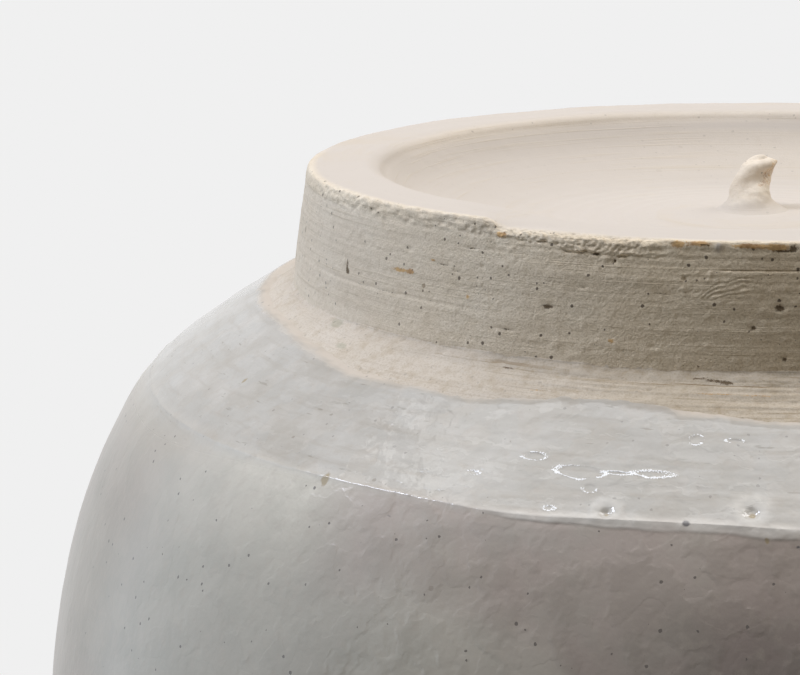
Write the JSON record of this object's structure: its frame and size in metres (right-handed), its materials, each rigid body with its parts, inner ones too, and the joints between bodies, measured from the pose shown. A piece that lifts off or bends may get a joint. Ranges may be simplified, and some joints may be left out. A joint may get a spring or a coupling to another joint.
{
  "type": "pottery bowl",
  "caption": "Glazed stoneware bowl standing on its lip, foot up, with a bare foot ring, a pale collar at its root and a twist of clay left at the centre of the foot.",
  "frame": {"origin": "on the wheel's axis, in the plane that the lip rests on", "axes": "+Z along the wheel's axis from the lip to the foot, so the bowl stands upside down as in the picture; +X is to the picture's right, and the peak in the foot leans that way; -Y faces the viewer"},
  "size_m": [0.1136, 0.1136, 0.08],
  "materials": {
    "sandy_stoneware": "bare fired clay, gritty and matt",
    "pale_slip": "bare fired slip, smoothed by hand",
    "milky_glaze": "glossy milky grey glaze with specks"
  },
  "bodies": {
    "root": {"thrown_bowl": "sandy_stoneware", "foot_ring": "sandy_stoneware", "foot_peak": "sandy_stoneware", "luting_slip": "pale_slip", "outer_glaze": "milky_glaze", "lip_glaze": "milky_glaze", "inner_glaze": "milky_glaze"}
  },
  "joints": []
}
